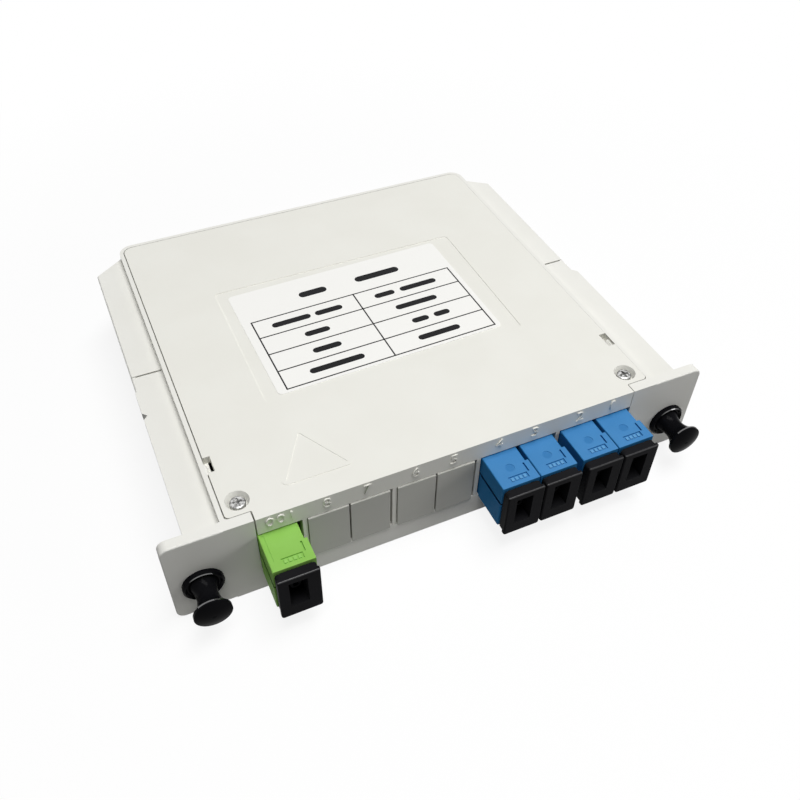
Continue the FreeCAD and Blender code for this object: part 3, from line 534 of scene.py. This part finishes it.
# The blue adapter's gate colour is painted shade on its gate mark.
BLUE_PLASTIC = AdapterPlastic(
    "adapter_blue", (0.034, 0.205, 0.470), (0.028, 0.190, 0.445), 0.50,
    cloud=6 * MM, specular=0.02, painted_groove_shade=(0.003, 0.020, 0.060), gate_painted_shade=(0.014, 0.160, 0.400),
    polish=ADAPTER_SHEEN,
)
GREEN_MARK = Moulding(
    "mark_green", (0.310, 0.600, 0.140), (0.290, 0.580, 0.130), 0.50, specular=0.04,
)
BLUE_MARK = Moulding(
    "mark_blue", (0.130, 0.350, 0.620), (0.110, 0.320, 0.590), 0.50, specular=0.04,
)
CAP_PLASTIC = Moulding(
    "cap_black", (0.014, 0.014, 0.016), (0.011, 0.011, 0.012), 0.42,
    grain=0.22 * MM, grain_depth=0.008 * MM, specular=0.01, polish=CAP_RIDGE,
)
LATCH_NYLON = Moulding(
    "latch_black", (0.006, 0.006, 0.007), (0.004, 0.004, 0.005), 0.12,
    grain=1.6 * MM, cloud=5 * MM, gloss_spread=0.06, specular=0.015, polish=LATCH_RIMS,
)
PLUG_PLASTIC = Moulding(
    "plug_white", (0.78, 0.78, 0.76), (0.74, 0.74, 0.72), 0.40, cloud=6 * MM,
)
BOOT_RUBBER = Moulding(
    "boot_rubber", (0.035, 0.035, 0.036), (0.025, 0.025, 0.026), 0.70, cloud=4 * MM,
)
CERAMIC = Moulding(
    "zirconia", (0.86, 0.86, 0.83), (0.84, 0.84, 0.81), 0.14, grain_depth=0.001 * MM,
)
JACKET = Moulding(
    "fibre_jacket", (0.78, 0.60, 0.10), (0.72, 0.54, 0.08), 0.38, cloud=5 * MM,
)
LABEL_FILM = Film("label_film", (0.930, 0.925, 0.895), (0.910, 0.905, 0.875), 0.42)
LABEL_INK = Film("label_ink", (0.008, 0.008, 0.009), (0.016, 0.016, 0.017), 0.50, specular=0.10)
CASE_STEEL = BrushedSteel("case_steel", (0.62, 0.62, 0.63))
SCREW_COLOUR = (0.60, 0.60, 0.59)


def finish_solid(node: str, material: bpy.types.Material) -> None:
    """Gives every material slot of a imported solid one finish."""
    solid = frame["nodes"][node]
    if not solid.material_slots:
        solid.data.materials.append(material)
    for slot in solid.material_slots:
        slot.material = material


def add_piece(name: str, mesh: bpy.types.Mesh, material: bpy.types.Material) -> None:
    """Adds a finished piece that rides on the housing.

    Args:
        name: The piece's name.
        mesh: Its mesh, already in place.
        material: Its finish.
    """
    mesh.materials.clear()
    mesh.materials.append(material)
    piece = bpy.data.objects.new(name, mesh)
    bpy.context.scene.collection.objects.link(piece)
    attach(piece, Body.HOUSING.value)
    LOG.info("%s: %d faces on %s", name, len(mesh.polygons), Body.HOUSING.value)


def join_meshes(name: str, meshes: list[bpy.types.Mesh]) -> bpy.types.Mesh:
    """Joins meshes that are already in place.

    Args:
        name: The new mesh's name.
        meshes: What it is made of; they are removed.

    Returns:
        One mesh with its normals facing out.
    """
    work = bmesh.new()
    for mesh in meshes:
        work.from_mesh(mesh)
        bpy.data.meshes.remove(mesh)
    bmesh.ops.remove_doubles(work, verts=work.verts, dist=SAME_PLACE)
    bmesh.ops.recalc_face_normals(work, faces=work.faces)
    joined = bpy.data.meshes.new(name)
    work.to_mesh(joined)
    work.free()
    return joined


def evaluated_mesh(carrier: bpy.types.Object) -> bpy.types.Mesh:
    """Turns an object's curves or modifiers into a plain mesh and removes the object."""
    graph = bpy.context.evaluated_depsgraph_get()
    mesh = bpy.data.meshes.new_from_object(carrier.evaluated_get(graph))
    bpy.data.objects.remove(carrier)
    return mesh


class BarRow:
    """Geometry nodes that set a row of like bars along a step."""

    INPUTS = (
        ("Count", "NodeSocketInt"),
        ("Step", "NodeSocketVector"),
        ("Bar Size", "NodeSocketVector"),
        ("Middle", "NodeSocketVector"),
        ("Finish", "NodeSocketMaterial"),
    )

    def __init__(self) -> None:
        """Builds the tree once."""
        tree = bpy.data.node_groups.new("bar_row", "GeometryNodeTree")
        graph = Graph(tree)
        self.ids = {}
        for name, kind in self.INPUTS:
            socket = tree.interface.new_socket(name=name, in_out="INPUT", socket_type=kind)
            self.ids[name] = socket.identifier
        tree.interface.new_socket(
            name="Geometry", in_out="OUTPUT", socket_type="NodeSocketGeometry"
        )
        given = graph.add("NodeGroupInput").outputs
        half = (Wire(graph, given["Count"]) - 1) * -0.5
        start = graph.add(
            "ShaderNodeVectorMath", {"operation": "SCALE"}, {0: given["Step"], "Scale": half}
        )
        line = graph.add(
            "GeometryNodeMeshLine",
            None,
            {
                "Count": given["Count"],
                "Start Location": start.outputs[0],
                "Offset": given["Step"],
            },
        )
        bar = graph.add("GeometryNodeMeshCube", None, {"Size": given["Bar Size"]})
        row = graph.add(
            "GeometryNodeInstanceOnPoints",
            None,
            {"Points": line.outputs[0], "Instance": bar.outputs[0]},
        )
        placed = graph.add(
            "GeometryNodeTransform",
            None,
            {"Geometry": row.outputs[0], "Translation": given["Middle"]},
        )
        real = graph.add("GeometryNodeRealizeInstances", None, {0: placed.outputs[0]})
        dressed = graph.add(
            "GeometryNodeSetMaterial",
            None,
            {"Geometry": real.outputs[0], "Material": given["Finish"]},
        )
        graph.add("NodeGroupOutput", None, {0: dressed.outputs[0]})
        self.tree = tree

    def mesh(self, finish: bpy.types.Material, **sizes: object) -> bpy.types.Mesh:
        """Makes one row.

        Args:
            finish: The bars' material.
            **sizes: count, step, bar_size and middle.

        Returns:
            The row as a plain mesh.
        """
        carrier = bpy.data.objects.new("bar_row_carrier", bpy.data.meshes.new("bar_row_carrier"))
        bpy.context.scene.collection.objects.link(carrier)
        modifier = carrier.modifiers.new("bars", "NODES")
        modifier.node_group = self.tree
        modifier[self.ids["Finish"]] = finish
        for name, value in sizes.items():
            modifier[self.ids[name.replace("_", " ").title()]] = value
        return evaluated_mesh(carrier)


@dataclass
class PortNumbers:
    """Raised numbers above the ports, on the cover's turned-down front; shifts in millimetres."""

    height: float = 2.8 * MM
    width: float = 1.7 * MM
    rise: float = 0.28 * MM
    middle_z: float = 22.0 * MM
    face_y: float = -45.4 * MM
    shifts: dict[str, float] = field(
        default_factory=lambda: {
            "8": -0.15, "7": -0.65, "6": -0.25, "5": -0.75,
            "4": -0.65, "3": -1.1, "2": -0.1, "1": -0.8,
        }
    )
    input_text: str = "001"
    input_width: float = 5.7 * MM
    input_height: float = 2.55 * MM
    input_shift: float = 0.35 * MM
    one_share: float = 0.55
    letter_step: float = 1.12
    block: float = 0.05
    thinning: float = -0.016
    bevel: float = 0.008

    def _number(self, text: str, x: float, width: float, height: float) -> bpy.types.Mesh:
        """One number as a mesh, in place.

        Args:
            text: What it reads.
            x: Its middle.
            width: Its width.
            height: Its height.

        Returns:
            The mesh.
        """
        curve = bpy.data.curves.new("number", "FONT")
        curve.body = text
        curve.size = 1.0
        curve.space_character = self.letter_step
        curve.extrude = self.block
        curve.offset = self.thinning
        curve.bevel_depth = self.bevel
        curve.bevel_resolution = 1
        curve.resolution_u = 4
        carrier = bpy.data.objects.new("number_carrier", curve)
        bpy.context.scene.collection.objects.link(carrier)
        mesh = evaluated_mesh(carrier)
        low = Vector(min(v.co[i] for v in mesh.vertices) for i in range(3))
        high = Vector(max(v.co[i] for v in mesh.vertices) for i in range(3))
        size = high - low
        middle = (low + high) / 2
        upright = Matrix(
            ((1, 0, 0, x), (0, 0, -1, self.face_y), (0, 1, 0, self.middle_z), (0, 0, 0, 1))
        )
        fitted = Matrix.Diagonal((width / size.x, height / size.y, 2 * self.rise / size.z, 1.0))
        mesh.transform(upright @ fitted @ Matrix.Translation(-middle))
        return mesh

    def build(self, finish: bpy.types.Material) -> None:
        """Adds the numbers as one piece."""
        numbers = []
        for name, shift in self.shifts.items():
            node = ("port_blank_" if name in BLANKS else "dust_cap_") + name
            low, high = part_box(node)
            width = self.width * (self.one_share if name == "1" else 1.0)
            middle = (low.x + high.x) / 2 + shift * MM
            numbers.append(self._number(name, middle, width, self.height))
        low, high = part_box("dust_cap_input")
        middle = (low.x + high.x) / 2 + self.input_shift
        numbers.append(
            self._number(self.input_text, middle, self.input_width, self.input_height)
        )
        add_piece("port_numbers", join_meshes("port_numbers", numbers), finish)


@dataclass
class LabelPrint:
    """Ruled table and plain bars printed on the label, in the label's own turned axes.

    Each bar is its middle's x and y, its length and its height, in millimetres.
    """

    turn: float = math.radians(1.3)
    ink: float = 0.012 * MM
    rule: float = 0.36 * MM
    table_middle: tuple[float, float] = (0.47 * MM, -5.50 * MM)
    table_width: float = 55.0 * MM
    table_depth: float = 25.66 * MM
    rows: int = 4
    columns: int = 2
    end_steps: int = 6
    bars: tuple[tuple[float, float, float, float], ...] = (
        (-8.6, 12.6, 7.6, 2.2), (9.6, 12.6, 12.6, 2.2),
        (-17.6, 4.1, 10.2, 1.8), (-7.6, 4.1, 7.4, 1.8),
        (8.0, 4.1, 5.6, 1.8), (17.6, 4.1, 10.4, 1.8),
        (-13.2, -2.3, 6.6, 1.8), (14.0, -2.3, 11.6, 1.8),
        (-13.2, -8.7, 7.4, 1.8), (12.0, -8.7, 4.6, 1.8), (18.0, -8.7, 4.4, 1.8),
        (-13.2, -15.1, 14.0, 1.8), (14.0, -15.1, 11.4, 1.8),
    )

    def _onto_label(self) -> Matrix:
        """Turn and place of the label's top face."""
        low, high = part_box("cover_label")
        middle = Vector(((low.x + high.x) / 2, (low.y + high.y) / 2, high.z))
        return Matrix.Translation(middle) @ Matrix.Rotation(self.turn, 4, "Z")

    def _rules(self, rows: BarRow, ink: bpy.types.Material) -> list[bpy.types.Mesh]:
        """The table's lines."""
        middle = (*self.table_middle, 0.0)
        across = rows.mesh(
            ink, count=self.rows + 1, step=(0.0, self.table_depth / self.rows, 0.0),
            bar_size=(self.table_width + self.rule, self.rule, 2 * self.ink),
            middle=middle,
        )
        down = rows.mesh(
            ink, count=self.columns + 1, step=(self.table_width / self.columns, 0.0, 0.0),
            bar_size=(self.rule, self.table_depth + self.rule, 2 * self.ink),
            middle=middle,
        )
        return [across, down]

    def _bar(self, x: float, y: float, length: float, tall: float) -> bpy.types.Mesh:
        """A bar with round ends, in metres.

        Args:
            x: Its middle along the label.
            y: Its middle across the label.
            length: Its length over the round ends.
            tall: Its height, which the ends are round to.

        Returns:
            The mesh.
        """
        work = bmesh.new()
        radius = tall / 2
        ring = []
        for side, start in ((1, -90), (-1, 90)):
            end = x + side * (length / 2 - radius)
            for i in range(self.end_steps + 1):
                angle = math.radians(start + 180 / self.end_steps * i)
                ring.append((end + radius * math.cos(angle), y + radius * math.sin(angle)))
        low = [work.verts.new((u, v, -self.ink)) for u, v in ring]
        high = [work.verts.new((u, v, self.ink)) for u, v in ring]
        work.faces.new(high)
        work.faces.new(low[::-1])
        for i, corner in enumerate(low):
            after = (i + 1) % len(ring)
            work.faces.new((corner, low[after], high[after], high[i]))
        mesh = bpy.data.meshes.new("label_bar")
        work.to_mesh(mesh)
        work.free()
        return mesh

    def build(self, rows: BarRow, ink: bpy.types.Material) -> None:
        """Adds the print as one piece."""
        meshes = self._rules(rows, ink)
        meshes += [self._bar(*(part * MM for part in bar)) for bar in self.bars]
        mesh = join_meshes("label_print", meshes)
        mesh.transform(self._onto_label())
        add_piece("label_print", mesh, ink)


@dataclass
class PocketMarks:
    """Plain raised bars in the shallow pocket on each adapter's top face."""

    count: int = 4
    pitch: float = 1.0 * MM
    bar: tuple[float, float, float] = (0.65 * MM, 0.9 * MM, 0.3 * MM)
    pocket_y: float = -53.25 * MM
    pocket_shift: float = 0.55 * MM
    floor_z: float = 18.45 * MM

    def build(
        self, rows: BarRow, green: bpy.types.Material, blue: bpy.types.Material
    ) -> None:
        """Adds one set of bars on each adapter.

        Args:
            rows: The bar maker.
            green: Finish on the input adapter.
            blue: Finish on the others.
        """
        for port in PORTS:
            low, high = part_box("split_sleeve_" + port)
            finish, slot = (green, Slot.GREEN) if port == "input" else (blue, Slot.BLUE)
            mesh = rows.mesh(
                finish, count=self.count, step=(self.pitch, 0.0, 0.0), bar_size=self.bar,
                middle=(
                    (low.x + high.x) / 2 + self.pocket_shift, self.pocket_y, self.floor_z,
                ),
            )
            add_piece("pocket_marks_" + port, mesh, finish)


@dataclass
class Cassette:
    """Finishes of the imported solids."""

    adapter_width: float = 8.59 * MM

    def _adapter(self, name: str) -> bpy.types.Material:
        """Finish of one adapter, with its own middle and side."""
        sleeve_low, sleeve_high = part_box("split_sleeve_" + name)
        middle = (sleeve_low.x + sleeve_high.x) / 2
        plastic = GREEN_PLASTIC if name == "input" else BLUE_PLASTIC
        side = middle - self.adapter_width / 2
        own = replace(plastic, name=plastic.name + "_" + name, middle_x=middle, side_x=side)
        return own.make()

    def dress(self, cover: bpy.types.Material) -> None:
        """Gives every solid its finish.

        Args:
            cover: Finish of the cover.
        """
        low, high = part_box("cover_screw_right")
        screw = TurnedSteel(
            "screw_steel", SCREW_COLOUR, (low.x + high.x) / 2, (low.y + high.y) / 2
        ).make()
        finish_solid("base_tray", TRAY_PLASTIC.make())
        finish_solid("top_cover", cover)
        finish_solid("cover_label", LABEL_FILM.make())
        finish_solid("splitter_case", CASE_STEEL.make())
        nylon, rubber = LATCH_NYLON.make(), BOOT_RUBBER.make()
        for side in ("left", "right"):
            finish_solid("cover_screw_" + side, screw)
            finish_solid("latch_grommet_" + side, nylon)
            finish_solid("latch_plunger_" + side, nylon)
            finish_solid("case_boot_" + side, rubber)
        blank = BLANK_PLASTIC.make()
        for name in BLANKS:
            finish_solid("port_blank_" + name, blank)
        cap, plug = CAP_PLASTIC.make(), PLUG_PLASTIC.make()
        ceramic, jacket = CERAMIC.make(), JACKET.make()
        for name in PORTS:
            finish_solid("adapter_" + name, self._adapter(name))
            finish_solid("dust_cap_" + name, cap)
            finish_solid("inner_plug_" + name, plug)
            finish_solid("split_sleeve_" + name, ceramic)
            finish_solid("plug_ferrule_" + name, ceramic)
            finish_solid("lead_fibre_" + name, jacket)
        LOG.info("finished %d solids", len(frame["nodes"]))


@dataclass(frozen=True)
class SoftLamp:
    """A soft rectangular lamp."""

    name: str
    place: tuple[float, float, float]
    size: tuple[float, float]
    watts: float

    def hang(self, aim: Vector) -> None:
        """Adds the lamp, facing a point."""
        data = bpy.data.lights.new(self.name, "AREA")
        data.shape = "RECTANGLE"
        data.size, data.size_y = self.size
        data.energy = self.watts
        lamp = bpy.data.objects.new(self.name, data)
        lamp.location = self.place
        turn = (aim - Vector(self.place)).to_track_quat("-Z", "Y")
        lamp.rotation_euler = turn.to_euler()
        bpy.context.scene.collection.objects.link(lamp)


LAMPS = (
    SoftLamp("top_softbox", (0.10, -0.12, 0.95), (0.75, 0.35), 7.8),
    SoftLamp("top_strip", (0.05, -0.10, 0.90), (1.20, 0.015), 1.3),
    SoftLamp("front_fill", (0.50, -0.45, 0.20), (0.25, 0.25), 0.72),
)


@dataclass
class Studio:
    """Camera, plain pale floor and soft light; the camera's turn is in degrees."""

    camera_place: tuple[float, float, float] = (-0.06306, -0.14951, 0.16238)
    camera_turn: tuple[float, float, float] = (44.541, -0.825, -24.336)
    lens: float = 38.44
    sensor: float = 36.0
    clip: float = 0.01
    floor_size: float = 8.0
    floor_drop: float = 0.05 * MM
    near: float = 0.10
    far: float = 0.22
    floor_light: float = 0.27
    shown_near: float = 0.86
    shown_gain: float = 0.14
    world_light: float = 0.03
    aim: tuple[float, float, float] = (0.0, 0.0, 0.01)

    def camera(self) -> None:
        """Adds the camera."""
        data = bpy.data.cameras.new("camera")
        data.lens = self.lens
        data.sensor_width = self.sensor
        data.clip_start = self.clip
        camera = bpy.data.objects.new("camera", data)
        camera.location = self.camera_place
        camera.rotation_euler = [math.radians(angle) for angle in self.camera_turn]
        bpy.context.scene.collection.objects.link(camera)
        bpy.context.scene.camera = camera

    def _seen(self, graph: Graph) -> Wire:
        """1 for camera, glossy and transmission rays."""
        path = graph.add("ShaderNodeLightPath").outputs
        seen = Wire(graph, path["Is Camera Ray"]) + Wire(graph, path["Is Glossy Ray"])
        return seen + Wire(graph, path["Is Transmission Ray"])

    def floor(self) -> None:
        """Adds the floor, which looks white and keeps a soft shadow."""
        material, graph = new_material("floor_paper")
        x, y, _ = graph.axes()
        away = ((x ** 2 + y ** 2) ** 0.5).step(self.near, self.far)
        share = self.shown_near + away * self.shown_gain
        grey = (self.floor_light, self.floor_light, self.floor_light, 1.0)
        pale = graph.add("ShaderNodeBsdfDiffuse", None, {"Color": grey})
        shaded = graph.add("ShaderNodeBsdfDiffuse", None, {"Color": WHITE})
        white = graph.add("ShaderNodeEmission", None, {"Color": WHITE, "Strength": 1.0})
        shown = graph.mix(share, shaded, white)
        both = graph.mix(self._seen(graph), pale, shown)
        graph.surface(both)
        work = bmesh.new()
        bmesh.ops.create_grid(work, x_segments=1, y_segments=1, size=self.floor_size / 2)
        mesh = bpy.data.meshes.new("floor")
        work.to_mesh(mesh)
        work.free()
        mesh.transform(Matrix.Translation((0, 0, -self.floor_drop)))
        mesh.materials.append(material)
        floor = bpy.data.objects.new("floor", mesh)
        bpy.context.scene.collection.objects.link(floor)

    def world(self) -> None:
        """White background with a low even light."""
        world = bpy.data.worlds.new("studio")
        world.use_nodes = True
        bpy.context.scene.world = world
        graph = Graph(world.node_tree)
        light = graph.add(
            "ShaderNodeBackground", None, {"Color": WHITE, "Strength": self.world_light}
        )
        white = graph.add("ShaderNodeBackground", None, {"Color": WHITE, "Strength": 1.0})
        both = graph.mix(self._seen(graph), light, white)
        graph.add("ShaderNodeOutputWorld", None, {"Surface": both.outputs[0]})

    def build(self) -> None:
        """Sets up the view, floor, world and lamps."""
        bpy.context.scene.view_settings.view_transform = "Standard"
        self.camera()
        self.floor()
        self.world()
        for lamp in LAMPS:
            lamp.hang(Vector(self.aim))


def main() -> None:
    """Builds every class in order."""
    logging.basicConfig(level=logging.INFO, format="%(name)s %(message)s")
    cover = WHITE_PLASTIC.make()
    Studio().build()
    Cassette().dress(cover)
    rows = BarRow()
    PortNumbers().build(cover)
    LabelPrint().build(rows, LABEL_INK.make())
    PocketMarks().build(rows, GREEN_MARK.make(), BLUE_MARK.make())


if __name__ == "__main__":
    main()
